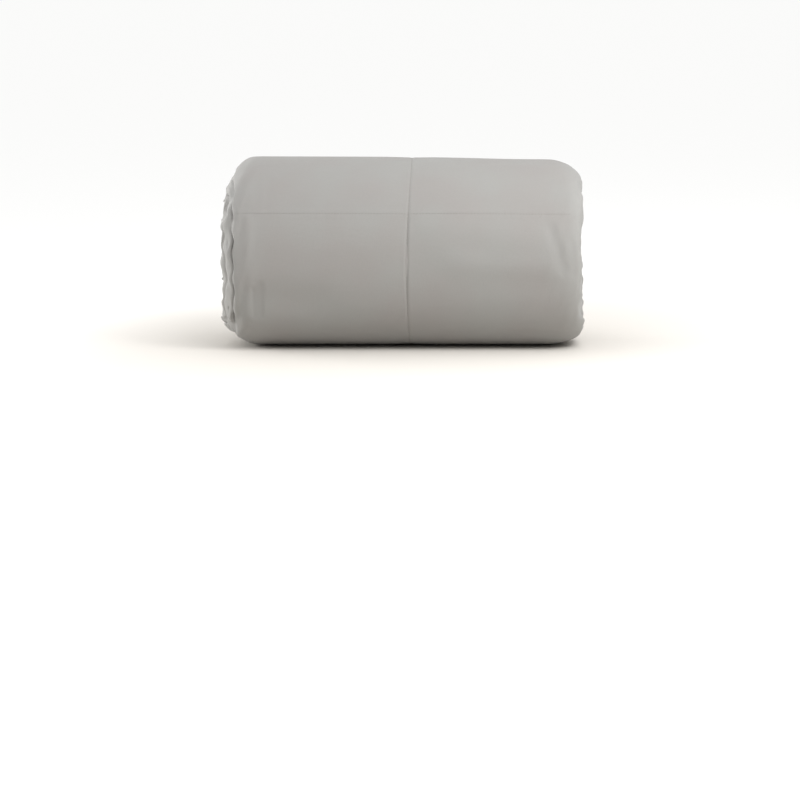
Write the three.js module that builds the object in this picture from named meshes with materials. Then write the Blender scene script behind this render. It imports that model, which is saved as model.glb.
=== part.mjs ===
// A quilted bedspread, folded lengthwise into a strip of six layers and rolled up.
// Millimetres, +Z up, +X along the roll, -Y its front. It lies on the plane z = 0,
// and the origin is on that plane, under the middle of the roll's box.
import * as THREE from "three";

// The flat bedspread: its width is folded into panels, its length is rolled up.
const flatWidth = 2500;
const flatLength = 2300;
const panelCount = 6;
const panelWidth = flatWidth / panelCount;

// The strip that is rolled: six layers of quilt, pressed together by the rolling.
const layerPitch = 2.74;
const stripThickness = panelCount * layerPitch;
const turnGap = 0.6;
const turnPitch = stripThickness + turnGap;
const coreRadius = 9.5; // from the roll's axis to the middle of the innermost layers

// The rolled shape, seen along its axis: an oval that has sagged on its underside.
const rollDepth = 226;
const rollHeight = 214;
const floorSink = 2.6; // how much of the sagged oval is pressed flat by the floor
const upperRoundness = 2.08; // 2 is an ellipse, and more is squarer
const lowerRoundness = 2.55;
const roundnessRange = { from: -0.4, to: 0.8 }; // how low it changes, as a share of half the height

// The free end is tucked under the roll, a little behind the part that it rests on.
const endAngle = THREE.MathUtils.degToRad(300);
const endPress = 0.66; // the share of the thickness left at the free end
const endPressLength = 80;
const stepBlend = THREE.MathUtils.degToRad(50); // behind the free end the outline falls back

// The two ends of the roll: the outermost folds are drawn in towards the axis, and the
// turns inside them less and less, so these reach further out.
const drawInStart = 170; // from the middle of the roll
const drawInPower = 1.9;
const leftDrawIn = 26; // how deep the outermost folds lie under the roll's surface
const rightDrawIn = 20;
const slopeLength = panelWidth / 2 - drawInStart;
const foldReach = drawInStart + Math.sqrt(slopeLength ** 2 - ((leftDrawIn + rightDrawIn) / 2) ** 2);
const coreBulge = panelWidth / 2 / foldReach - 1;
const heightTaper = 0.009; // the left end is this share thicker, and the right end thinner

// How finely the shape is divided.
const stepsPerTurn = 28;
const faceStations = [0.84, 0.91, 0.96, 1]; // shares of the way from the middle to the folds
const bendStations = [45, 90, 135].map(THREE.MathUtils.degToRad);

const risePerRadian = turnPitch / (2 * Math.PI);
const foldRadius = stripThickness / 2;
const faceReach = foldReach - foldRadius;

// The angle that the whole length takes up, from the length of an Archimedean spiral.
function woundAngle(length) {
  return (Math.sqrt(coreRadius ** 2 + 2 * risePerRadian * length) - coreRadius) / risePerRadian;
}

const totalAngle = woundAngle(flatLength);

// The distance from the axis of the strip's middle layer, after it has turned by an angle.
function spiralRadius(turned) {
  return coreRadius + risePerRadian * turned;
}

// The outside of the undisturbed spiral in a direction, with the free end's step smoothed over.
function woundRadius(direction) {
  const fullTurn = 2 * Math.PI;
  const back = THREE.MathUtils.euclideanModulo(endAngle - direction, fullTurn);
  const plain = spiralRadius(totalAngle - back) + stripThickness / 2;
  const pastStep = THREE.MathUtils.smoothstep(back, fullTurn - stepBlend, fullTurn);
  return plain + turnPitch * pastStep;
}

// The outside of the finished roll in a direction: a squared ellipse.
function sagRadius(direction) {
  const across = Math.abs(Math.cos(direction)) / (rollDepth / 2);
  const up = Math.abs(Math.sin(direction)) / ((rollHeight + floorSink) / 2);
  const low = THREE.MathUtils.smoothstep(
    -Math.sin(direction),
    roundnessRange.from,
    roundnessRange.to,
  );
  const power = THREE.MathUtils.lerp(upperRoundness, lowerRoundness, low);
  return (across ** power + up ** power) ** (-1 / power);
}

// The share of the radius that is left at a distance from the middle of the roll.
function drawnIn(x) {
  const past = Math.max(0, Math.abs(x) - drawInStart) / (foldReach - drawInStart);
  const depth = x < 0 ? leftDrawIn : rightDrawIn;
  return 1 - (depth / (rollDepth / 2)) * past ** drawInPower;
}

// A point of the strip in the rolled bedspread: x across the strip, the angle that the
// strip has turned there, and its height above the strip's middle layer.
function rolledPoint(x, turned, height) {
  const direction = endAngle - (totalAngle - turned);
  const radius = spiralRadius(turned) + height;
  const share = radius / woundRadius(direction);
  const sag = 1 + (sagRadius(direction) / woundRadius(direction) - 1) * share ** 2;
  const drawn = radius * sag * drawnIn(x);
  const axisHeight = (rollHeight - floorSink) / 2;
  const taper = 1 - (heightTaper * x) / foldReach;
  return new THREE.Vector3(
    x * (1 + coreBulge * (1 - share ** 2)),
    drawn * Math.cos(direction) * taper,
    Math.max(0, (axisHeight + drawn * Math.sin(direction)) * taper),
  );
}

// The share of the thickness left near the free end, where the roll's weight presses it.
function pressed(turned) {
  const toEnd = (totalAngle - turned) * spiralRadius(turned);
  return THREE.MathUtils.lerp(endPress, 1, THREE.MathUtils.smoothstep(toEnd, 0, endPressLength));
}

// The angles at which the strip has a ring of corners, counted back from the free end, so
// that the corners of one turn lie over those of the turn inside it.
function ringAngles() {
  const step = (2 * Math.PI) / stepsPerTurn;
  const wholeSteps = Math.floor(totalAngle / step);
  const angles = [0];
  for (let left = wholeSteps; left >= 0; left--) angles.push(totalAngle - left * step);
  return angles;
}

// The outline of the strip's cross-section, as [x, share of half the thickness]:
// the outer face from left to right, the right folds, the inner face back, the left folds.
function stripOutline() {
  const rightHalf = faceStations.map((share) => share * faceReach);
  const leftHalf = rightHalf.map((x) => -x).reverse();
  const outer = [...leftHalf, ...rightHalf].map((x) => [x, 1]);
  const rightBend = bendStations.map((angle) => [
    faceReach + foldRadius * Math.sin(angle),
    Math.cos(angle),
  ]);
  const opposite = ([x, side]) => [-x, -side];
  return [...outer, ...rightBend, ...outer.map(opposite), ...rightBend.map(opposite)];
}

// The strip's rings along the spiral, joined into one closed surface.
function rolledStripGeometry() {
  const outline = stripOutline();
  const angles = ringAngles();
  const positions = [];
  for (const turned of angles) {
    const press = pressed(turned);
    for (const [x, side] of outline) {
      const height = (stripThickness / 2) * ((1 + side) * press - 1);
      positions.push(...rolledPoint(x, turned, height).toArray());
    }
  }
  const around = outline.length;
  const faces = [];
  for (let ring = 0; ring + 1 < angles.length; ring++) {
    for (let i = 0; i < around; i++) {
      const a = ring * around + i;
      const b = ring * around + ((i + 1) % around);
      faces.push(a, a + around, b, b, a + around, b + around);
    }
  }
  const flat = outline.map(([x, side]) => new THREE.Vector2(x, side * foldRadius));
  const last = (angles.length - 1) * around;
  for (const [a, b, c] of THREE.ShapeUtils.triangulateShape(flat, [])) {
    faces.push(a, c, b);
    faces.push(last + a, last + b, last + c);
  }
  const geometry = new THREE.BufferGeometry();
  geometry.setAttribute("position", new THREE.Float32BufferAttribute(positions, 3));
  geometry.setIndex(faces);
  geometry.computeBoundingBox();
  const centre = geometry.boundingBox.getCenter(new THREE.Vector3());
  geometry.translate(-centre.x, -centre.y, 0);
  geometry.computeVertexNormals();
  return geometry;
}

const quiltCloth = new THREE.MeshStandardMaterial({
  color: 0xb4b1aa,
  roughness: 0.85,
  metalness: 0,
});

const bedspread = new THREE.Mesh(rolledStripGeometry(), quiltCloth);
bedspread.name = "rolled_bedspread";

const part = new THREE.Group();
part.add(bedspread);

export default part;
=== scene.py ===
import math

import bpy
import numpy as np
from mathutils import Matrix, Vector


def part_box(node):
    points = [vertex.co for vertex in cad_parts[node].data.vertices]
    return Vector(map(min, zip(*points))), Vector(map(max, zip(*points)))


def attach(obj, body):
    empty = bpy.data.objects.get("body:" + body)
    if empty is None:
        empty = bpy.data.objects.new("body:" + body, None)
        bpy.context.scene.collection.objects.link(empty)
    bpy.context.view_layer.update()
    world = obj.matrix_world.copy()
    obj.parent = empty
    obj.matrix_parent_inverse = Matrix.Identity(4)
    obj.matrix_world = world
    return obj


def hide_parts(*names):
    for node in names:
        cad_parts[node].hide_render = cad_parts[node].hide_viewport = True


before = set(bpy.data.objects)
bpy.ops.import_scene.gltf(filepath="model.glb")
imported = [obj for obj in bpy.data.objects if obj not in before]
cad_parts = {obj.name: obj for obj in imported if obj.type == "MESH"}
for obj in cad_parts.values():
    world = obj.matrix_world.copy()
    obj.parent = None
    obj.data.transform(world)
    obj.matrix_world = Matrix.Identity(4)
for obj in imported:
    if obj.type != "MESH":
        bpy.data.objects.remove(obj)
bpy.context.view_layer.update()  # one body, with the rolled strip as its one node
rollLow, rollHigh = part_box("rolled_bedspread")
print("frame loaded")

mm = 0.001


# Camera: a long lens a little above the roll, nearly three metres in front of it.
cameraSet = {
    "distance": 2.92,  # from the roll's axis
    "height": 0.4035,
    "aside": -0.002,
    "downTilt": 9.2,  # degrees
    "lens": 113.6,
    "sensor": 36.0,
}


def makeCamera(c):
    bpy.ops.object.camera_add(
        location=(c["aside"], -c["distance"], c["height"]),
        rotation=(math.radians(90 - c["downTilt"]), 0, 0),
    )
    camera = bpy.context.object
    camera.name = "photoCamera"
    camera.data.lens = c["lens"]
    camera.data.sensor_width = c["sensor"]
    bpy.context.scene.camera = camera


# Small helpers.
def selectOnly(obj):
    bpy.ops.object.select_all(action="DESELECT")
    obj.select_set(True)
    bpy.context.view_layer.objects.active = obj


def joinPieces(pieces, main):
    for piece in pieces:
        piece.select_set(True)
    bpy.context.view_layer.objects.active = main
    bpy.ops.object.join()
    return bpy.context.object


def applyModifier(obj, kind, name, **settings):
    selectOnly(obj)
    modifier = obj.modifiers.new(name, kind)
    for key, value in settings.items():
        setattr(modifier, key, value)
    bpy.ops.object.modifier_apply(modifier=name)


def readPoints(obj):
    points = np.empty(len(obj.data.vertices) * 3)
    obj.data.vertices.foreach_get("co", points)
    return points.reshape(-1, 3)


def writePoints(obj, points):
    obj.data.vertices.foreach_set("co", points.ravel())
    obj.data.update()


def smoothStep(value, low, high):
    t = np.clip((value - low) / (high - low), 0, 1)
    return t * t * (3 - 2 * t)


def blend(a, b, share):
    return a + (b - a) * share


def hump(away):  # one in the middle, and falling away softly to both sides
    return np.exp(-away ** 2)


def linearColour(hexCode):
    parts = [int(hexCode[i:i + 2], 16) / 255 for i in (1, 3, 5)]
    return [p / 12.92 if p <= 0.04045 else ((p + 0.055) / 1.055) ** 2.4 for p in parts] + [1]


def emptyMaterial(name):
    material = bpy.data.materials.new(name)
    material.use_nodes = True
    material.node_tree.nodes.clear()
    return material


def addNode(tree, kind, links=None, **settings):
    # Links pair an input with a value, another node's output, or a node, for its first output.
    node = tree.nodes.new(kind)
    for key, value in settings.items():
        setattr(node, key, value)
    for socket, source in (links or {}).items():
        if isinstance(source, bpy.types.Node):
            source = source.outputs[0]
        if isinstance(source, bpy.types.NodeSocket):
            tree.links.new(source, node.inputs[socket])
        else:
            node.inputs[socket].default_value = source
    return node


# The cloth as it is cut, and how it is folded and rolled. Metres and degrees. Directions
# around the roll are counted from the back, over the top, so the front is at 180.
cloth = {
    "flatWidth": 2.5,
    "flatLength": 2.3,
    "thickness": 2.3 * mm,
    "layerPitch": 2.74 * mm,  # from one folded layer to the next
    "turnGap": 0.6 * mm,
    "coreRadius": 9.5 * mm,
    "coreSqueeze": 0.45,  # the share that the middle of the core is pressed together
    "coreSqueezeReach": 16 * mm,
    "endDirection": 300,  # of the free end
    "endPress": 0.5,  # the share of the strip's thickness left at the free end
    "endPressLength": 80 * mm,
    "endSlip": 5.5 * mm,  # how far the layers slipped past each other at the free end
    "endSlipWaves": (0.35, 0.9),  # wavelengths of that slip across the flat cloth
    "endSlipLength": 80 * mm,
    "cornerSlip": 16 * mm,  # how far the free end's corners lag behind its middle
    "cornerSlipFrom": 130 * mm,  # from the strip's middle to where they begin to
    "endNarrowing": 0.035,  # the share by which the free end is narrower
    "endWave": 0.9 * mm,  # how far the free end's stack of layers stands off in waves
    "endWaves": (60 * mm, 150 * mm),
    "stepBlend": 50,
    "endTaper": 0.003,  # the left end is thicker by this share, the right end thinner
    "thickestAt": 0.8,  # the share of the way to the left end where the roll is thickest
    "floorSink": 2.6 * mm,
    "floorCorner": 60,  # how sharply the roll's round side meets its flat underside
    "upperRoundness": 2.08,  # 2 is an ellipse, and more is squarer
    "lowerRoundness": 2.38,
    "roundnessRange": (-0.4, 0.8),  # how low it changes, as shares of half the height
    "shift": 2.2 * mm,  # to the right, of the whole strip
    "sway": 3.3 * mm,  # how far it wanders to both sides as it winds
    "swayPeak": 210,  # degrees back from the free end where it is furthest right
    "swayLength": 190,  # degrees to the next such place
}

# The panels from the first hem to the last, heading right, 1, or left, -1. Levels and insets count
# layer pitches: the level from the strip's middle, the inset from its edge to the centre of the
# fold that comes next.
foldPlan = [
    {"level": -0.5, "heading": -1, "inset": 2.2},
    {"level": 0.5, "heading": 1, "inset": 2.5},
    {"level": 1.5, "heading": -1, "inset": 4.6},
    {"level": 2.5, "heading": 1, "inset": 2.5},  # this one shows, and its right fold wraps the others
    {"level": -2.5, "heading": -1, "inset": 0.5},
    {"level": -1.5, "heading": 1, "inset": 2.5},
]
outerPanel = 3
layerPitch = cloth["layerPitch"]
stripThickness = len(foldPlan) * layerPitch
risePerRadian = (stripThickness + cloth["turnGap"]) / (2 * math.pi)
foldLevels = [panel["level"] for panel in foldPlan]
foldRadii = [abs(a - b) / 2 for a, b in zip(foldLevels, foldLevels[1:])]
hemInset = foldPlan[-1]["inset"]
allInsets = 2 * hemInset + 2 * sum(panel["inset"] for panel in foldPlan[:-1])
takenByFolds = (allInsets - math.pi * sum(foldRadii)) * layerPitch
halfStrip = (cloth["flatWidth"] + takenByFolds) / (2 * len(foldPlan))


def turnedAt(along):  # how far the strip has turned, in radians, that far along it
    core = cloth["coreRadius"]
    return (np.sqrt(core ** 2 + 2 * risePerRadian * along) - core) / risePerRadian


def alongAt(turned):
    return cloth["coreRadius"] * turned + risePerRadian * turned ** 2 / 2


def spiralRadius(turned):  # from the roll's axis to the strip's middle
    return cloth["coreRadius"] + risePerRadian * turned


endTurned = turnedAt(cloth["flatLength"])


def foldedWidth():  # the cloth's width as a folded line, piece by piece, straight or bent
    pieces = []
    place, across = 0.0, halfStrip - hemInset * layerPitch
    for number, panel in enumerate(foldPlan):
        side, level = panel["heading"], panel["level"]
        end = side * (halfStrip - panel["inset"] * layerPitch)
        length = abs(end - across)
        straight = {"side": side, "place": place, "length": length, "across": across, "level": level}
        pieces.append({**straight, "radius": 0})
        place, across = place + length, end
        if number + 1 < len(foldPlan):
            radius, step = foldRadii[number], level - foldPlan[number + 1]["level"]
            length = math.pi * radius * layerPitch
            bent = {"side": side, "place": place, "length": length, "across": across, "radius": radius}
            pieces.append({**bent, "level": level - step / 2, "way": math.copysign(1, step)})
            place += length
    return pieces


foldPieces = foldedWidth()
outerPiece = foldPieces[2 * outerPanel]
wrappedFold = foldPieces[3]  # the other fold at the right, inside the one of the outer panel


def foldedLine():  # the same line as arrays: place, across, above, and where the face side faces
    samples = 41
    rows = []
    for piece in foldPieces:
        radius, side = piece["radius"] * layerPitch, piece["side"]
        for share in np.linspace(0, 1, samples):
            place = piece["place"] + share * piece["length"]
            across, above = piece["across"], piece["level"] * layerPitch
            if radius:
                sine, cosine = math.sin(math.pi * share), math.cos(math.pi * share)
                across += radius * side * sine
                above += radius * piece["way"] * cosine
                rows.append((place, across, above, piece["way"] * sine, side * cosine))
            else:
                across += side * share * piece["length"]
                rows.append((place, across, above, 0.0, side))
    return np.array(rows).T


foldLine = foldedLine()


def foldCloth(points):  # flat cloth to the strip: across it, along it, and above its middle
    place, along, height = points.T
    across, above, faceAcross, faceUp = (np.interp(place, foldLine[0], row) for row in foldLine[1:])
    return across + faceAcross * height, along, above + faceUp * height


# Quilting: lines of stitches in squares, which pull the cloth's face in. Metres.
quilting = {
    "squaresAcross": 12,
    "squaresAlong": 11,
    "seamOffset": 6.3 * mm,  # from the middle of the strip to its line of stitches
    "firstLineFromEnd": 70 * mm,  # from the free end to the line nearest to it
    "crease": 0.42 * mm,  # depth of the narrow crease at the stitches
    "creaseWidth": 1.4 * mm,
    "hollow": 0.35 * mm,  # depth of the wide hollow beside them
    "hollowWidth": 13 * mm,
    "hollowPower": 1.5,  # 2 is a rounder hollow, and less a sharper one
    "valley": 1.65 * mm,  # how deep the layers under the crease give way
    "valleyWidth": 1.35 * mm,
    "valleyMiddle": 181,  # the direction in which the crease is deepest
    "valleySpread": 27,
    "valleyElsewhere": 0.12,  # the share of that depth at the top and below
    "wideValley": 0.3 * mm,
    "wideValleyWidth": 22 * mm,
    "valleyReach": 12 * mm,  # from the surface to where the layers no longer give way
    "alongShare": 0.22,  # the lines along the roll are pulled flat, to this share
    "hemShare": 0.8,
    "backShare": 0.3,  # how deep the back of the cloth is pulled in, against its face
    "hemLine": 8 * mm,  # from the hem's edge to its stitches
    "edgeRound": 1.3 * mm,
    "edgeThinness": 0.02,  # the hem's very edge keeps the square root of this of its thickness
}
squareAcross = cloth["flatWidth"] / quilting["squaresAcross"]
squareAlong = cloth["flatLength"] / quilting["squaresAlong"]
seamAcross = outerPiece["place"] + outerPiece["side"] * (quilting["seamOffset"] - outerPiece["across"])
firstLine = cloth["flatLength"] - quilting["firstLineFromEnd"]


def fromNearestLine(place, first, spacing):
    return np.abs(np.mod(place - first + spacing / 2, spacing) - spacing / 2)


def fromEdge(across, along):
    return np.minimum.reduce([across, cloth["flatWidth"] - across, along, cloth["flatLength"] - along])


def stitchPull(across, along):  # how deep the stitches pull the face side in
    q = quilting
    pulled = np.zeros_like(across)
    fromColumn = fromNearestLine(across, seamAcross, squareAcross)
    fromRow = fromNearestLine(along, firstLine, squareAlong)
    fromHemLine = np.abs(fromEdge(across, along) - q["hemLine"])
    for distance, share in ((fromColumn, 1), (fromRow, q["alongShare"]), (fromHemLine, q["hemShare"])):
        pull = q["crease"] * np.exp(-distance / q["creaseWidth"])
        pull += q["hollow"] * np.exp(-((distance / q["hollowWidth"]) ** q["hollowPower"]))
        pulled = np.maximum(pulled, share * pull)
    return pulled


def seamValley(fromSeam, under, direction):  # how far the strip gives way, less the deeper it lies
    q = quilting
    away = (np.mod(np.degrees(direction), 360) - q["valleyMiddle"]) / q["valleySpread"]
    strength = blend(q["valleyElsewhere"], 1, hump(away))
    valley = q["valley"] * strength * hump(fromSeam / q["valleyWidth"])
    valley += q["wideValley"] * hump(fromSeam / q["wideValleyWidth"])
    return valley * (1 - smoothStep(under, 0, q["valleyReach"]))


def quiltLoft(points):  # flat points of a plain thick sheet to those of the quilted one
    q = quilting
    across, along, height = points.T
    face = height > 0
    half = np.abs(height) - stitchPull(across, along) * np.where(face, 1, q["backShare"])
    inside = np.clip(fromEdge(across, along) / q["edgeRound"], 0, 1)
    half *= np.sqrt(np.maximum(1 - (1 - inside) ** 2, q["edgeThinness"]))
    return np.stack([across, along, np.where(face, half, -half)], axis=1)


# The roll's two ends, -1 the left and 1 the right. The strip runs straight to start, and from
# there its outermost fold reaches to reach and curves in by depth, like a shoulder. Roundness is
# the power of that curve. At the top and below, the fold reaches a little further.
drawnEnds = {
    -1: {
        "start": 165 * mm, "reach": 201 * mm, "topReach": 4 * mm, "lowReach": 4.5 * mm,
        "depth": 40 * mm, "frontDepth": 13 * mm, "lowDepth": 22 * mm,
        "roundness": 2.5, "frontRoundness": 4.0, "lowRoundness": 1.8,
        "ripple": 3.4 * mm, "innerRipple": 2.0 * mm, "raggedness": 1.0, "lipSlip": 7.2 * mm,
    },
    1: {
        "start": 158 * mm, "reach": 201.2 * mm, "topReach": 1.2 * mm, "lowReach": 3.2 * mm,
        "depth": 14.5 * mm, "frontDepth": 3 * mm, "lowDepth": 10 * mm,
        "roundness": 3.0, "frontRoundness": 7.0, "lowRoundness": 3.0,
        "ripple": 1.3 * mm, "innerRipple": 1.3 * mm, "raggedness": 0.6, "lipSlip": 0,
    },
}
drawing = {  # the same for both ends
    "limit": 50 * mm,  # no fold is drawn in further
    "inner": 1.5,  # how quickly the turns inside are drawn in less
    "frontRange": (0.4, 0.95),  # how far forward it changes to the front's depth, 1 at the front
    "lowRange": (0.1, 0.75),  # and how far down, 1 at the very bottom
}

# The unevenness of the folded edges: how far they slip and stand out. The lean is how much the
# waves of one fold are shifted against those of the next.
ruffles = {
    "from": 140 * mm,  # from the roll's middle to where they begin
    "growth": 1.5,  # and how slowly they grow from there
    "longSlip": 1.5 * mm, "longWaves": (55 * mm, 120 * mm), "longLean": 5.0,
    "shortSlip": 1.1 * mm, "shortWaves": (22 * mm, 42 * mm), "shortLean": 2.5,
    "rippleCounts": (8, 17),  # waves around the roll
    "rippleTwist": 90,  # radians per metre of radius
    "rippleSlant": 27,  # radians per metre across, so the ridges lean
    "rippleCalm": (212, 238),  # directions between which part of it dies away, towards the floor
    "calmShare": 0.5,
    "endCalm": 0.8,  # the share of it that dies away at the free end
    "innerShares": (0.75, 0.88),  # shares of the radius where the inner ripple becomes the outer one
    "outerShare": 0.22,  # what is left of them on the outermost layer
    "outerShares": (0.955, 1.0),  # shares of the radius between which they die away to that
    "lipLow": 170, "lipHigh": 100,  # directions: the outer lip slips back towards the lower one
    "lipShares": (0.92, 0.98),
    "lipLevel": 1,  # layer pitches above the strip's middle to the underside of the lip
    "lipGap": 5 * mm, "lipGapPlace": 190 * mm,  # the layers under the outer lip sink away from it
    "lipPuff": 3.5 * mm, "lipPuffPlace": 204 * mm,  # and their folded edges are puffed up beyond it
    "lipWidth": 6 * mm, "lipDirection": 192, "lipSpread": 36,
}

# Places where folded edges stand out further, or less far, than their neighbours: the direction
# in degrees, and the share of the roll's radius at which those layers lie.
standouts = [
    {"side": -1, "direction": 107, "spread": 6, "share": 0.925, "within": 0.03, "out": 3.5 * mm},
    {"side": -1, "direction": 95, "spread": 7, "share": 0.875, "within": 0.02, "out": -2.5 * mm},
    {"side": -1, "direction": 131, "spread": 9, "share": 0.66, "within": 0.16, "out": -5.5 * mm},
    {"side": -1, "direction": 219, "spread": 6, "share": 0.885, "within": 0.05, "out": -6 * mm},
    {"side": -1, "direction": 227, "spread": 7, "share": 0.62, "within": 0.07, "out": 3 * mm},
    {"side": -1, "direction": 248, "spread": 11, "share": 0.9, "within": 0.08, "out": 6 * mm},
    {"side": -1, "direction": 204, "spread": 6, "share": 0.8, "within": 0.06, "out": 3 * mm},
    {"side": -1, "direction": 228, "spread": 26, "share": 0.87, "within": 0.12, "out": 2.2 * mm},
    {"side": -1, "direction": 88, "spread": 8, "share": 0.78, "within": 0.08, "out": 2.5 * mm},
    {"side": 1, "direction": 92, "spread": 10, "share": 0.86, "within": 0.14, "out": -2.5 * mm},
    {"side": 1, "direction": 116, "spread": 16, "share": 0.8, "within": 0.14, "out": -2.8 * mm},
    {"side": 1, "direction": 144, "spread": 5, "share": 0.96, "within": 0.05, "out": 1.5 * mm},
    {"side": 1, "direction": 180, "spread": 4, "share": 0.96, "within": 0.05, "out": 2.5 * mm},
    {"side": 1, "direction": 221, "spread": 8, "share": 0.6, "within": 0.14, "out": -3.5 * mm},
    {"side": 1, "direction": 229, "spread": 7, "share": 0.96, "within": 0.06, "out": 3.5 * mm},
]

# Soft creases of the rolled surface, each along a line between two places, given as the
# distance from the roll's middle and the direction. A negative depth is a ridge. With a step,
# the surface is lower at the line's left side and higher at its right.
creases = [
    {"from": (28 * mm, 160), "to": (62 * mm, 181), "width": 15 * mm, "depth": -1.1 * mm},
    {"from": (60 * mm, 160), "to": (160 * mm, 171), "width": 24 * mm, "depth": -2.2 * mm},
    {"from": (70 * mm, 182), "to": (165 * mm, 184), "width": 15 * mm, "depth": -2.2 * mm},
    {"from": (170 * mm, 162), "to": (184.5 * mm, 184), "width": 7 * mm, "depth": 1.1 * mm,
     "step": 2.3 * mm},
    {"from": (191.5 * mm, 169), "to": (195 * mm, 187), "width": 5 * mm, "depth": 0.5 * mm,
     "step": 1.6 * mm},
    {"from": (150 * mm, 78), "to": (150 * mm, 102), "width": 88 * mm, "depth": 2.4 * mm},
    {"from": (-165 * mm, 202), "to": (-100 * mm, 204), "width": 20 * mm, "depth": 3.2 * mm},
    {"from": (-172 * mm, 156), "to": (-171 * mm, 214), "width": 5 * mm, "depth": -1.3 * mm},
    {"from": (-166 * mm, 197), "to": (-166.5 * mm, 214), "width": 2.4 * mm, "depth": 1.9 * mm},
    {"from": (-158 * mm, 194), "to": (-159 * mm, 213), "width": 2.4 * mm, "depth": 1.9 * mm},
    {"from": (-162 * mm, 128), "to": (-163 * mm, 148), "width": 3 * mm, "depth": 0.5 * mm},
    {"from": (-150 * mm, 130), "to": (-151 * mm, 150), "width": 3 * mm, "depth": 0.35 * mm},
]
creaseFade = 4  # how quickly they fade in the layers underneath

# The roll's own size, without the taper that makes its left end thicker.
rollDepth = (rollHigh.y - rollLow.y) / (1 + cloth["endTaper"] * cloth["thickestAt"])
rollHeight = rollHigh.z / (1 + cloth["endTaper"] * cloth["thickestAt"])
seeds = {"endSlip": 3, "endWave": 11, "longSlip": 5, "shortSlip": 9, "ripple": 13}  # each gives other waves
wavesSummed = 7  # how many plain waves make an irregular one
wavesRaised = 1.2  # and how far those are raised that seldom go below zero


def waves(seed, lengths, along, across, lean):  # irregular waves, about one high
    dice = np.random.default_rng(seed)
    total = np.zeros_like(along)
    for _ in range(wavesSummed):
        length = math.exp(dice.uniform(math.log(lengths[0]), math.log(lengths[1])))
        tilt = dice.uniform(-lean, lean)
        total += np.sin(2 * math.pi * ((along + tilt * across) / length + dice.uniform(0, 1)))
    return total / math.sqrt(wavesSummed / 2)


def raisedWaves(seed, lengths, along):
    return wavesRaised + waves(seed, lengths, along, along, 0)


def roundWaves(seed, counts, direction, radius, twist):  # waves that close around the roll
    dice = np.random.default_rng(seed)
    total = np.zeros_like(direction)
    for _ in range(wavesSummed):
        waveCount = dice.integers(counts[0], counts[1])
        turn = dice.uniform(-twist, twist)
        total += np.sin(waveCount * direction + turn * radius + dice.uniform(0, 2 * math.pi))
    return total / math.sqrt(wavesSummed / 2)


def woundRadius(direction):  # the outside of the undisturbed spiral, with its step smoothed over
    fullTurn = 2 * math.pi
    back = np.mod(math.radians(cloth["endDirection"]) - direction, fullTurn)
    plain = spiralRadius(endTurned - back) + stripThickness / 2
    step = smoothStep(back, fullTurn - math.radians(cloth["stepBlend"]), fullTurn)
    return plain + (stripThickness + cloth["turnGap"]) * step


def sagRadius(direction):  # the outside of the finished roll: a squared oval, flat on the floor
    sink, corner = cloth["floorSink"], cloth["floorCorner"]
    across = np.abs(np.cos(direction)) / (rollDepth / 2)
    up = np.abs(np.sin(direction)) / ((rollHeight + sink) / 2)
    low = smoothStep(-np.sin(direction), *cloth["roundnessRange"])
    power = blend(cloth["upperRoundness"], cloth["lowerRoundness"], low)
    oval = (across ** power + up ** power) ** (-1 / power)
    shallowest = 0.05  # where a direction points down less than this, the floor is far enough away
    floorLine = (rollHeight - sink) / 2 / np.maximum(-np.sin(direction), shallowest)
    return (oval ** -corner + floorLine ** -corner) ** (-1 / corner)


def creaseDepth(x, direction):
    total = np.zeros_like(x)
    arcRadius = (rollDepth + rollHeight) / 4
    for crease in creases:
        (fromX, fromDirection), (toX, toDirection) = crease["from"], crease["to"]
        lineX, lineArc = toX - fromX, arcRadius * math.radians(toDirection - fromDirection)
        offX = x - fromX
        offArc = arcRadius * np.radians(np.mod(np.degrees(direction) - fromDirection + 180, 360) - 180)
        place = np.clip((offX * lineX + offArc * lineArc) / (lineX ** 2 + lineArc ** 2), 0, 1)
        awayX, awayArc = offX - place * lineX, offArc - place * lineArc
        depth = crease["depth"] - crease.get("step", 0) * awayX / crease["width"]
        total += depth * hump(np.hypot(awayX, awayArc) / crease["width"])
    return total


def standOut(side, direction, share):
    degrees = np.mod(np.degrees(direction), 360)
    out = np.zeros_like(direction)
    for place in standouts:
        if place["side"] == side:
            away = (degrees - place["direction"]) / place["spread"]
            deeper = (share - place["share"]) / place["within"]
            out += place["out"] * hump(away) * hump(deeper)
    return out


def slipFreeEnd(flatAcross, across, along):  # its layers slip past each other, and it is narrower
    c = cloth
    slipped = smoothStep(along, c["flatLength"] - c["endSlipLength"], c["flatLength"])
    slip = c["endSlip"] * raisedWaves(seeds["endSlip"], c["endSlipWaves"], flatAcross)
    slip += c["cornerSlip"] * smoothStep(np.abs(across), c["cornerSlipFrom"], halfStrip) ** 2
    return across * (1 - c["endNarrowing"] * slipped), along - slip * slipped, slipped


def openLip(across, above, direction):  # the layers under the left outer lip sink away from it
    r = ruffles
    lowest = -len(foldPlan) / 2
    level = above / layerPitch
    under = np.clip((level - lowest) / (r["lipLevel"] - lowest), 0, 1) * (level < r["lipLevel"])
    gap = r["lipGap"] * hump((across + r["lipGapPlace"]) / r["lipWidth"])
    puff = r["lipPuff"] * hump((across + r["lipPuffPlace"]) / r["lipWidth"])
    away = (np.mod(np.degrees(direction), 360) - r["lipDirection"]) / r["lipSpread"]
    return above - (gap - puff) * hump(away) * under


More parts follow.
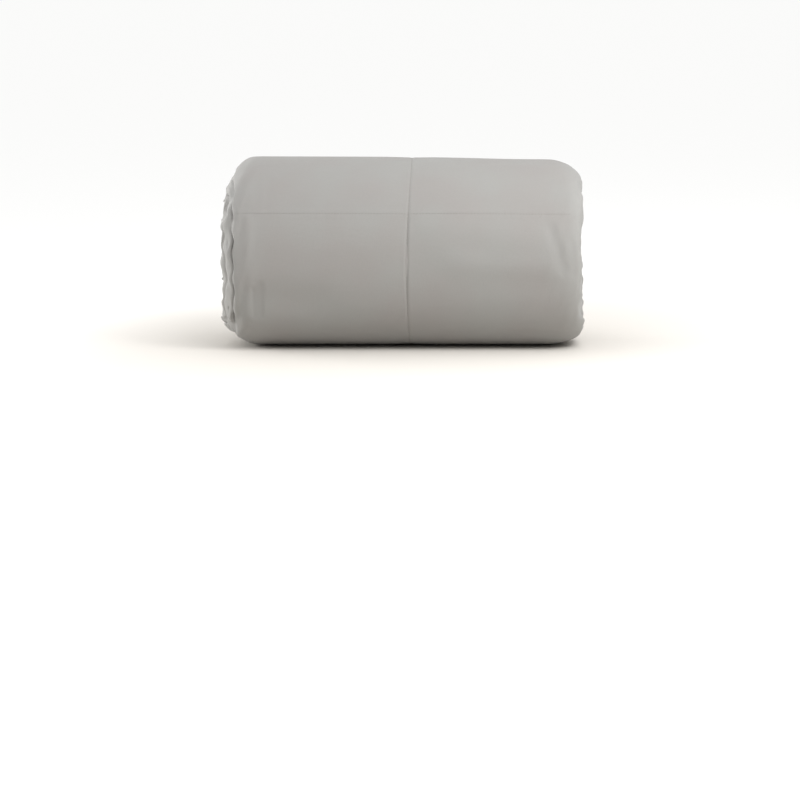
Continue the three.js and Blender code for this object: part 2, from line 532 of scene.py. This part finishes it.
def pressFreeEnd(across, above, turned, slipped):  # the roll's weight presses it thin, in waves
    c = cloth
    toEnd = (endTurned - turned) * spiralRadius(turned)
    press = blend(c["endPress"], 1, smoothStep(toEnd, 0, c["endPressLength"]))
    above = (above + stripThickness / 2) * press - stripThickness / 2
    return above + c["endWave"] * slipped ** 2 * raisedWaves(seeds["endWave"], c["endWaves"], across)


def ruffle(side, across, along, above, radius, direction, slipped):
    # How far the folded edges at one end of the roll slip across, and how far they ripple up.
    r, end = ruffles, drawnEnds[side]
    degrees = np.degrees(direction)
    share = radius / woundRadius(direction)
    edge = smoothStep(np.abs(across), r["from"], halfStrip) ** r["growth"]
    loose = blend(1, r["outerShare"], smoothStep(share, *r["outerShares"]))

    slip = r["longSlip"] * waves(side + seeds["longSlip"], r["longWaves"], along, above, r["longLean"])
    slip += r["shortSlip"] * waves(side + seeds["shortSlip"], r["shortWaves"], along, above, r["shortLean"])
    lip = smoothStep(share, *r["lipShares"]) * smoothStep(degrees, r["lipHigh"], r["lipLow"])
    slip = slip * loose * end["raggedness"] - side * lip * end["lipSlip"]
    slip += side * standOut(side, direction, share)

    slanted = direction + across * r["rippleSlant"]
    ripple = roundWaves(side + seeds["ripple"], r["rippleCounts"], slanted, radius, r["rippleTwist"])
    ripple *= blend(end["innerRipple"], end["ripple"], smoothStep(share, *r["innerShares"]))
    ripple *= 1 - r["calmShare"] * smoothStep(np.mod(degrees, 360), *r["rippleCalm"])
    ripple *= np.minimum(radius / (rollHeight / 2), 1) * (1 - r["endCalm"] * slipped)
    return edge * slip, edge * ripple * loose


def drawIn(side, across, direction, share):  # where the end comes to lie, and how deep it curves in
    d, end = drawing, drawnEnds[side]
    past = np.maximum(np.abs(across) - end["start"], 0) / (halfStrip - end["start"])
    upward = np.sin(direction)
    reach = end["reach"] + np.where(upward > 0, end["topReach"], end["lowReach"]) * upward ** 2
    x = np.clip(across, -end["start"], end["start"]) + side * past * (reach - end["start"])
    front = smoothStep(-np.cos(direction), *d["frontRange"])
    low = smoothStep(-upward, *d["lowRange"])
    depth = blend(blend(end["depth"], end["frontDepth"], front), end["lowDepth"], low)
    roundness = blend(blend(end["roundness"], end["frontRoundness"], front), end["lowRoundness"], low)
    depth = d["limit"] * np.tanh(depth * past ** roundness / d["limit"])
    return x, depth * np.maximum(share, 0) ** d["inner"]


def rollHalf(side, flatAcross, across, along, above):  # one half of the folded strip, rolled up
    c = cloth
    across, along, slipped = slipFreeEnd(flatAcross, across, along)
    turned = turnedAt(along)
    back = endTurned - turned
    direction = math.radians(c["endDirection"]) - back
    above = pressFreeEnd(across, openLip(across, above, direction), turned, slipped)
    radius = spiralRadius(turned) + above
    fromSeam = across - quilting["seamOffset"]

    slip, ripple = ruffle(side, across, along, above, radius, direction, slipped)
    across, radius = across + slip, radius + ripple
    outside = woundRadius(direction)
    share = radius / outside
    radius = radius - seamValley(fromSeam, outside - radius, direction)

    core = 1 - c["coreSqueeze"] * hump(radius / c["coreSqueezeReach"])
    sag = 1 + (sagRadius(direction) / outside - 1) * share ** 2
    sway = c["sway"] * np.cos(2 * math.pi * (np.degrees(back) - c["swayPeak"]) / c["swayLength"])
    x, depth = drawIn(side, across + c["shift"] + sway, direction, share)
    depth += creaseDepth(x, direction) * np.maximum(share, 0) ** creaseFade
    drawn = radius * core * sag - depth
    taper = 1 - c["endTaper"] * x / halfStrip
    y = drawn * np.cos(direction) * taper
    z = ((rollHeight - c["floorSink"]) / 2 + drawn * np.sin(direction)) * taper
    return np.stack([x, y, np.maximum(z, 0)], axis=1)


def rollUp(points):  # flat cloth (across, along, height) to its place in the roll
    strip = np.stack([points[:, 0], *foldCloth(points)])
    rolled = np.empty_like(points)
    for side in drawnEnds:
        here = (strip[1] < 0) == (side < 0)
        rolled[here] = rollHalf(side, *strip[:, here])
    return rolled


# How finely the cloth is divided.
mesh = {
    "hiddenPlaces": [163, 176, 187, 195],  # across the strip, mm from its middle
    "underLipPlaces": [163, 171, 177, 182, 187, 191, 195, 199],  # the same, where the outer lip bares them
    # The outer panel's places are counted from its line of stitches, to both sides.
    "shownPlaces": [0.5, 1.2, 2.2, 3.6, 5.5, 9.5, 16, 28, 42, 56, 70, 84, 98, 112, 126, 138,
                    146, 150, 153, 156, 159, 162, 165, 169, 173, 177, 181, 185, 189, 193, 197, 200],
    "foldSteps": {0.5: 6, 2.5: 10},  # columns round a fold, by its radius in layer pitches
    "closestToFold": 1.5 * mm,  # columns nearer than this to a fold are left out
    "rowsPerTurn": 48,
    "nearLine": [0, 3],  # rows beside a stitch line, mm from it
    "nearShownLine": [0, 1.2, 3, 6],
    "nearHem": [0, 0.35, 0.9, 1.8, 4.5, 6.8, 8, 9.2, 12],
    "closest": 2 * mm,  # evenly turned rows nearer than this to another are left out
    "outerTurn": 400,  # degrees back from the free end that have the finer grid
    "outerCuts": 3,  # rows added between two of its rows, on the face side
    "innerCuts": [(1080, 2), (1440, 1)],  # at the folds: up to so many degrees back, so many rows
    "besideFold": 16 * mm,  # how much of the cloth beside them gets these rows too
    "shortest": 5 * mm,  # rows nearer to each other than this get none between them
    "joinGap": 3 * mm,  # half the gap that is bridged between the finer grid and the coarser one
    "sameLine": 0.001 * mm,  # points nearer than this lie on one line
}


def columnPlaces(shown):  # where the flat cloth has columns of points
    leftPlaces = mesh["underLipPlaces"] if shown else mesh["hiddenPlaces"]
    places = [0.0]
    for piece in foldPieces:
        start, length = piece["place"], piece["length"]
        if piece["radius"]:
            steps = mesh["foldSteps"][piece["radius"]]
            places += [start + length * i / steps for i in range(1, steps + 1)]
            continue
        if shown and piece is outerPiece:
            fromSeam = [side * p * mm for p in [0, *mesh["shownPlaces"]] for side in (-1, 1)]
            across = [quilting["seamOffset"] + d for d in fromSeam]
        else:
            across = [-p * mm for p in leftPlaces] + [p * mm for p in mesh["hiddenPlaces"]]
        inside = sorted({round((x - piece["across"]) * piece["side"], 6) for x in across})
        margin = mesh["closestToFold"]
        places += [start + d for d in inside if margin < d < length - margin]
        places.append(start + length)
    return np.array(places)


def rowPlaces(start, end, near):  # evenly turned rows, with more beside the lines and the hem
    lines = [firstLine - i * squareAlong for i in range(quilting["squaresAlong"] + 1)]
    fixed = [line + side * d * mm for line in lines for side in (-1, 1) for d in near]
    fixed += [cloth["flatLength"] - d * mm for d in mesh["nearHem"]]
    fixed += [d * mm for d in mesh["nearHem"]]
    fixed = np.array(sorted({round(f, 6) for f in fixed if start < f < end} | {start, end}))
    turned = endTurned - np.arange(0, endTurned, 2 * math.pi / mesh["rowsPerTurn"])
    even = alongAt(turned)
    even = [e for e in even if start < e < end and np.abs(fixed - e).min() > mesh["closest"]]
    return np.array(sorted([*fixed, *even]))


def layFlat(columns, rows, name):  # a grid, spaced as given
    bpy.ops.object.select_all(action="DESELECT")
    bpy.ops.mesh.primitive_grid_add(
        x_subdivisions=len(columns) - 1, y_subdivisions=len(rows) - 1, size=1
    )
    grid = bpy.context.object
    grid.name = name
    points = readPoints(grid)
    columnOf = np.rint((points[:, 0] + 0.5) * (len(columns) - 1)).astype(int)
    rowOf = np.rint((points[:, 1] + 0.5) * (len(rows) - 1)).astype(int)
    points[:, 0], points[:, 1] = columns[columnOf], rows[rowOf]
    writePoints(grid, points)
    return grid


def selectEdges(obj, test):  # selects the edges whose two ends pass a test, and enters edit mode
    selectOnly(obj)
    points = readPoints(obj)
    ends = np.empty(len(obj.data.edges) * 2, int)
    obj.data.edges.foreach_get("vertices", ends)
    ends = ends.reshape(-1, 2)
    chosen = test(points[ends[:, 0]], points[ends[:, 1]])
    obj.data.vertices.foreach_set("select", np.zeros(len(points), bool))
    obj.data.polygons.foreach_set("select", np.zeros(len(obj.data.polygons), bool))
    obj.data.edges.foreach_set("select", chosen)
    bpy.ops.object.mode_set(mode="EDIT")
    bpy.ops.mesh.select_mode(type="EDGE")


def layTurns():  # the hidden turns as a coarse grid and the outermost one as a fine grid, joined
    middle = alongAt(endTurned - math.radians(mesh["outerTurn"]))
    gap, same = mesh["joinGap"], mesh["sameLine"]
    innerRows = rowPlaces(0, middle - gap, mesh["nearLine"])
    outerRows = rowPlaces(middle + gap, cloth["flatLength"], mesh["nearShownLine"])
    inner = layFlat(columnPlaces(False), innerRows, "innerTurns")
    outer = layFlat(columnPlaces(True), outerRows, "quilt")
    quilt = joinPieces([inner, outer], outer)
    stretches = [piece["place"] for piece in foldPieces] + [cloth["flatWidth"]]
    for columnFrom, columnTo in zip(stretches, stretches[1:]):  # each is bridged by itself

        def facesGap(a, b):
            x = (a[:, 0] + b[:, 0]) / 2
            level = np.abs(a[:, 1] - b[:, 1]) < same
            beside = np.abs(np.abs(a[:, 1] - middle) - gap) < same
            return level & beside & (x > columnFrom) & (x < columnTo)

        selectEdges(quilt, facesGap)
        bpy.ops.mesh.bridge_edge_loops()
        bpy.ops.object.mode_set(mode="OBJECT")
    return quilt


def splitRows(obj, columnFrom, columnTo, backFrom, backTo, cuts):
    # On the face side, more rows between two columns and two angles back from the free end.
    alongFrom, alongTo = (alongAt(endTurned - math.radians(b)) for b in (backTo, backFrom))
    faceHeight = 0.5 * mm  # only the face side's points are higher than this

    def runsAlong(a, b):
        x, y = ((a + b) / 2)[:, :2].T
        onFace = (a[:, 2] > faceHeight) & (b[:, 2] > faceHeight)
        straight = np.abs(a[:, 0] - b[:, 0]) < mesh["sameLine"]
        longEnough = np.abs(a[:, 1] - b[:, 1]) > mesh["shortest"]
        inside = (x > columnFrom) & (x < columnTo) & (y > alongFrom) & (y < alongTo)
        return onFace & straight & longEnough & inside

    selectEdges(obj, runsAlong)
    bpy.ops.mesh.subdivide(number_cuts=cuts, ngon=False)
    bpy.ops.object.mode_set(mode="OBJECT")


def divideShown(quilt):  # the outer panel, and the folded edges that show at the ends of the roll
    beside = mesh["besideFold"]
    outer = (mesh["outerTurn"], mesh["outerCuts"])
    for fold in foldPieces:
        if fold["radius"] and fold is not wrappedFold:
            backFrom = 0
            for backTo, cuts in (outer, *mesh["innerCuts"]):
                foldFrom, foldTo = fold["place"] - beside, fold["place"] + fold["length"] + beside
                splitRows(quilt, foldFrom, foldTo, backFrom, backTo, cuts)
                backFrom = backTo
    splitRows(quilt, outerPiece["place"], outerPiece["place"] + outerPiece["length"], 0, *outer)


def flatMap(obj, points):  # the cloth's own UV map: its flat place, one unit to a metre
    while obj.data.uv_layers:
        obj.data.uv_layers.remove(obj.data.uv_layers[0])
    layer = obj.data.uv_layers.new(name="flatCloth")
    corners = np.empty(len(obj.data.loops), int)
    obj.data.loops.foreach_get("vertex_index", corners)
    layer.data.foreach_set("uv", points[corners, :2].ravel())


# Where the painted highlight lies: the folded edges at the roll's ends, and the hems.
edgeHighlightReach = {"from": 184 * mm, "hemReach": 3 * mm}  # from the strip's middle, and from a hem's edge


def paintEdgeHighlight(obj, points):  # an attribute: 1 on the folded edges and hems, which get a painted highlight, a lighter colour
    folded = smoothStep(np.abs(foldCloth(points)[0]), edgeHighlightReach["from"], halfStrip)
    hems = np.exp(-fromEdge(points[:, 0], points[:, 1]) / edgeHighlightReach["hemReach"])
    layer = obj.data.attributes.new("paintedHighlight", "FLOAT", "POINT")
    layer.data.foreach_set("value", np.maximum(folded, hems))


def makeQuilt():
    quilt = layTurns()
    applyModifier(quilt, "SOLIDIFY", "thickness", thickness=cloth["thickness"], offset=0.0)
    print("cloth laid flat:", len(quilt.data.polygons), "faces")
    divideShown(quilt)
    print("what shows is divided further:", len(quilt.data.polygons), "faces")
    points = readPoints(quilt)
    flatMap(quilt, points)
    paintEdgeHighlight(quilt, points)
    writePoints(quilt, rollUp(quiltLoft(points)))
    selectOnly(quilt)
    bpy.ops.object.mode_set(mode="EDIT")
    bpy.ops.mesh.select_all(action="SELECT")
    bpy.ops.mesh.normals_make_consistent(inside=False)
    bpy.ops.object.mode_set(mode="OBJECT")
    bpy.ops.object.shade_smooth()
    print("quilt folded and rolled:", sum(len(p.vertices) - 2 for p in quilt.data.polygons), "triangles")
    return quilt


# Stitches: lockstitch in polyester thread, lying in the creases of the face side. Metres.
stitching = {
    "length": 2.6 * mm,
    "pitch": 3.4 * mm,
    "thread": 0.42 * mm,
    "raised": 0.05 * mm,  # from the cloth to the middle of the thread
    "sides": 6,
    "rings": 5,
    "fromFold": 5 * mm,
    "shownTurn": 396,  # degrees back from the free end that have stitches
}


def stitchRow(start, end, place, runsAlong):  # one stitch, repeated in a straight row on the flat cloth
    t = stitching
    bpy.ops.object.select_all(action="DESELECT")
    bpy.ops.mesh.primitive_uv_sphere_add(
        segments=t["sides"], ring_count=t["rings"], radius=0.5, rotation=(0, math.pi / 2, 0)
    )
    row = bpy.context.object
    bpy.ops.object.transform_apply(location=False, rotation=True, scale=False)
    row.scale = (t["length"], t["thread"], t["thread"])
    if runsAlong:
        row.rotation_euler = (0, 0, math.pi / 2)
    row.location = (place, start, 0) if runsAlong else (start, place, 0)
    bpy.ops.object.transform_apply(location=False, rotation=True, scale=True)
    step = (0, t["pitch"], 0) if runsAlong else (t["pitch"], 0, 0)
    applyModifier(row, "ARRAY", "row", count=int((end - start) / t["pitch"]), use_relative_offset=False,
                  use_constant_offset=True, constant_offset_displace=step)
    bpy.ops.object.transform_apply(location=True, rotation=False, scale=False)
    return row


def makeStitches():
    t = stitching
    hemLine = cloth["flatLength"] - quilting["hemLine"]
    oldest = alongAt(endTurned - math.radians(t["shownTurn"]))
    left = outerPiece["place"] + t["fromFold"]
    right = outerPiece["place"] + outerPiece["length"] - t["fromFold"]
    rows = [stitchRow(oldest, hemLine - t["pitch"], seamAcross, True)]
    along = firstLine
    while along > oldest:
        rows.append(stitchRow(left, right, along, False))
        along -= squareAlong
    rows.append(stitchRow(left, right, hemLine, False))
    stitches = joinPieces(rows, rows[0])
    stitches.name = "stitches"
    across, along, raised = readPoints(stitches).T
    height = cloth["thickness"] / 2 - stitchPull(across, along) + t["raised"] + raised
    writePoints(stitches, rollUp(np.stack([across, along, height], axis=1)))
    selectOnly(stitches)
    bpy.ops.object.shade_smooth()
    print("stitches sewn:", len(stitches.data.polygons), "faces")
    return stitches


# Materials. Lengths are in metres on the flat cloth.
microfibre = {
    "colour": "#969592",
    "shadeColour": "#95928f",  # where the nap lies the other way
    # painted highlight: the lighter colour of the folded edges and hems
    "edgeHighlightColour": "#9c9b98",
    "threadPitch": 0.7 * mm,  # the real threads are 0.25 mm apart, too fine to show
    "threadHeight": 0.03 * mm,
    "napSize": 3 * mm,
    "napHeight": 0.12 * mm,
    "napRange": (0.3, 0.7),  # of the nap's noise, from the least rough to the roughest
    "patchSize": 60 * mm,
    "patchRange": (0.35, 0.65),
    "puckerPitch": 8 * mm,
    "puckerStretch": 6,  # how many times longer than wide they are
    "puckerHeight": 0.45 * mm,
    "puckerReach": 9 * mm,
    "roughness": (0.76, 0.88),
    "sheen": 0.2,
    "sheenRoughness": 0.45,
}


def puckers(tree, place, along, first, spacing, m):  # small gathers across the lines of stitches
    centred = addNode(tree, "ShaderNodeMath", {0: place, 1: first - spacing / 2}, operation="SUBTRACT")
    wrapped = addNode(tree, "ShaderNodeMath", {0: centred, 1: spacing}, operation="FLOORED_MODULO")
    nearest = addNode(tree, "ShaderNodeMath", {0: wrapped, 1: spacing / 2}, operation="SUBTRACT")
    away = addNode(tree, "ShaderNodeMath", {0: nearest}, operation="ABSOLUTE")
    near = addNode(tree, "ShaderNodeMapRange", {
        "Value": away, "From Min": 0.0, "From Max": m["puckerReach"], "To Min": 1.0, "To Max": 0.0,
    }, interpolation_type="SMOOTHERSTEP")
    short, long = m["puckerPitch"], m["puckerStretch"] * m["puckerPitch"]
    spot = addNode(tree, "ShaderNodeCombineXYZ", {
        "X": addNode(tree, "ShaderNodeMath", {0: along, 1: short}, operation="DIVIDE"),
        "Y": addNode(tree, "ShaderNodeMath", {0: place, 1: long}, operation="DIVIDE"),
    })
    gathers = addNode(tree, "ShaderNodeTexNoise", {"Vector": spot, "Scale": 1.0, "Detail": 1.0})
    return addNode(tree, "ShaderNodeMath", {0: near, 1: gathers}, operation="MULTIPLY")


# Polyester microfibre, woven fine and brushed: matt, with a short nap that looks soft close by
# and leaves a faint bloom along the roll's outline: partly its sheen, partly a painted highlight,
# a lighter colour on the folded edges and hems.
def brushedMicrofibre(m):
    material = emptyMaterial("brushedMicrofibre")
    tree = material.node_tree
    flat = addNode(tree, "ShaderNodeUVMap", uv_map="flatCloth")
    sides = addNode(tree, "ShaderNodeSeparateXYZ", {"Vector": flat})
    across, along = sides.outputs["X"], sides.outputs["Y"]

    threads = []
    for side in (across, along):  # the warp, then the weft
        turn = 2 * math.pi / m["threadPitch"]
        phase = addNode(tree, "ShaderNodeMath", {0: side, 1: turn}, operation="MULTIPLY")
        threads.append(addNode(tree, "ShaderNodeMath", {0: phase}, operation="SINE"))
    weave = addNode(tree, "ShaderNodeMath", {0: threads[0], 1: threads[1]}, operation="MULTIPLY")
    nap = addNode(tree, "ShaderNodeTexNoise", {"Vector": flat, "Scale": 1 / m["napSize"], "Detail": 3.0})
    patches = addNode(tree, "ShaderNodeTexNoise", {
        "Vector": flat, "Scale": 1 / m["patchSize"], "Detail": 2.0, "Roughness": 0.4,
    })
    overColumns = puckers(tree, across, along, seamAcross, squareAcross, m)
    overRows = puckers(tree, along, across, firstLine, squareAlong, m)
    gathered = addNode(tree, "ShaderNodeMath", {0: overColumns, 1: overRows}, operation="ADD")

    soft = addNode(tree, "ShaderNodeBump", {"Height": gathered, "Distance": m["puckerHeight"]})
    brushed = addNode(tree, "ShaderNodeBump", {
        "Height": nap, "Distance": m["napHeight"], "Normal": soft,
    })
    woven = addNode(tree, "ShaderNodeBump", {
        "Height": weave, "Distance": m["threadHeight"], "Normal": brushed,
    })

    lying = addNode(tree, "ShaderNodeMapRange", {
        "Value": patches, "From Min": m["patchRange"][0], "From Max": m["patchRange"][1],
    })
    tint = addNode(tree, "ShaderNodeMix", {
        "Factor": lying, "A": linearColour(m["colour"]), "B": linearColour(m["shadeColour"]),
    }, data_type="RGBA")
    # A painted highlight: the folded edges and hems are mixed towards a lighter colour.
    paintedHighlight = addNode(tree, "ShaderNodeAttribute", attribute_name="paintedHighlight")
    highlighted = addNode(tree, "ShaderNodeMix", {
        "Factor": paintedHighlight.outputs["Fac"], "A": tint.outputs["Result"], "B": linearColour(m["edgeHighlightColour"]),
    }, data_type="RGBA")
    rough = addNode(tree, "ShaderNodeMapRange", {
        "Value": nap, "From Min": m["napRange"][0], "From Max": m["napRange"][1],
        "To Min": m["roughness"][0], "To Max": m["roughness"][1],
    })
    shader = addNode(tree, "ShaderNodeBsdfPrincipled", {
        "Base Color": highlighted.outputs["Result"],
        "Roughness": rough,
        "Sheen Weight": m["sheen"],
        "Sheen Roughness": m["sheenRoughness"],
        "Normal": woven,
    })
    addNode(tree, "ShaderNodeOutputMaterial", {"Surface": shader})
    return material


sewingThread = {"colour": "#8a8782", "twist": 0.9 * mm, "twistHeight": 0.05 * mm, "roughness": 0.6}


def polyesterThread(m):  # spun polyester, twisted: a little smoother than the nap around it
    material = emptyMaterial("polyesterThread")
    tree = material.node_tree
    place = addNode(tree, "ShaderNodeTexCoord").outputs["Object"]
    strands = addNode(tree, "ShaderNodeTexNoise", {"Vector": place, "Scale": 1 / m["twist"], "Detail": 1.0})
    twisted = addNode(tree, "ShaderNodeBump", {"Height": strands, "Distance": m["twistHeight"]})
    shader = addNode(tree, "ShaderNodeBsdfPrincipled", {
        "Base Color": linearColour(m["colour"]), "Roughness": m["roughness"], "Normal": twisted,
    })
    addNode(tree, "ShaderNodeOutputMaterial", {"Surface": shader})
    return material


# The floor and the light: a white studio, with a paper floor and three soft boxes.
stageSet = {
    "floorSize": 300.0,
    "nearColour": "#dedad4",
    "farColour": "#fbfbfa",
    "nearReach": 0.2,  # from the roll's middle to where the paper begins to lighten
    "farReach": 0.8,
    "horizonLight": 0.05,
    "overheadLight": 1.47,
    "lamps": {  # soft boxes: where they stand, what they are aimed at, their width and their power
        "key": {"place": (0.5, -0.58, 0.63), "aim": (0.15, 0.0, 0.12), "size": 0.4, "power": 3.35},
        "front": {"place": (0.6, -1.1, 1.5), "aim": (0.0, 0.0, 0.1), "size": 1.0, "power": 7.5},
        "left": {"place": (-1.0, 0.42, 0.22), "aim": (-0.2, 0.0, 0.1), "size": 0.4, "power": 6.0},
    },
}


def studioPaper(c):  # matt background paper: no gloss, lighter away from the roll
    material = emptyMaterial("studioPaper")
    tree = material.node_tree
    place = addNode(tree, "ShaderNodeTexCoord").outputs["Object"]
    away = addNode(tree, "ShaderNodeVectorMath", {0: place}, operation="LENGTH").outputs["Value"]
    far = addNode(tree, "ShaderNodeMapRange", {
        "Value": away, "From Min": c["nearReach"], "From Max": c["farReach"],
    }, interpolation_type="SMOOTHSTEP")
    tint = addNode(tree, "ShaderNodeMix", {
        "Factor": far, "A": linearColour(c["nearColour"]), "B": linearColour(c["farColour"]),
    }, data_type="RGBA")
    shader = addNode(tree, "ShaderNodeBsdfDiffuse", {"Color": tint.outputs["Result"]})
    addNode(tree, "ShaderNodeOutputMaterial", {"Surface": shader})
    return material


def makeFloor(c):
    bpy.ops.object.select_all(action="DESELECT")
    bpy.ops.mesh.primitive_plane_add(size=c["floorSize"], location=(0, 0, 0))
    floor = bpy.context.object
    floor.name = "floor"
    floor.data.materials.append(studioPaper(c))


def makeLight(c):  # an even glow that is stronger overhead, and the soft boxes
    world = bpy.data.worlds.new("studio")
    bpy.context.scene.world = world
    world.use_nodes = True
    tree = world.node_tree
    tree.nodes.clear()
    direction = addNode(tree, "ShaderNodeTexCoord").outputs["Generated"]
    parts = addNode(tree, "ShaderNodeSeparateXYZ", {"Vector": direction})
    strength = addNode(tree, "ShaderNodeMapRange", {
        "Value": parts.outputs["Z"], "From Min": 0.0, "From Max": 1.0,
        "To Min": c["horizonLight"], "To Max": c["overheadLight"],
    })
    background = addNode(tree, "ShaderNodeBackground", {"Color": (1, 1, 1, 1), "Strength": strength})
    addNode(tree, "ShaderNodeOutputWorld", {"Surface": background})
    for name, lamp in c["lamps"].items():
        bpy.ops.object.light_add(type="AREA", location=lamp["place"])
        box = bpy.context.object
        box.name = name
        box.data.energy = lamp["power"]
        box.data.size = lamp["size"]
        aim = Vector(lamp["aim"]) - Vector(lamp["place"])
        box.rotation_euler = aim.to_track_quat("-Z", "Y").to_euler()
        box.visible_camera = False
    bpy.context.scene.view_settings.view_transform = "Standard"


makeCamera(cameraSet)
print("camera set")
quilt = makeQuilt()
quilt.data.materials.clear()
quilt.data.materials.append(brushedMicrofibre(microfibre))
stitches = makeStitches()
stitches.data.materials.clear()
stitches.data.materials.append(polyesterThread(sewingThread))
makeFloor(stageSet)
makeLight(stageSet)
print("floor and light set")

for piece in (quilt, stitches):
    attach(piece, "root")
    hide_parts("rolled_bedspread")
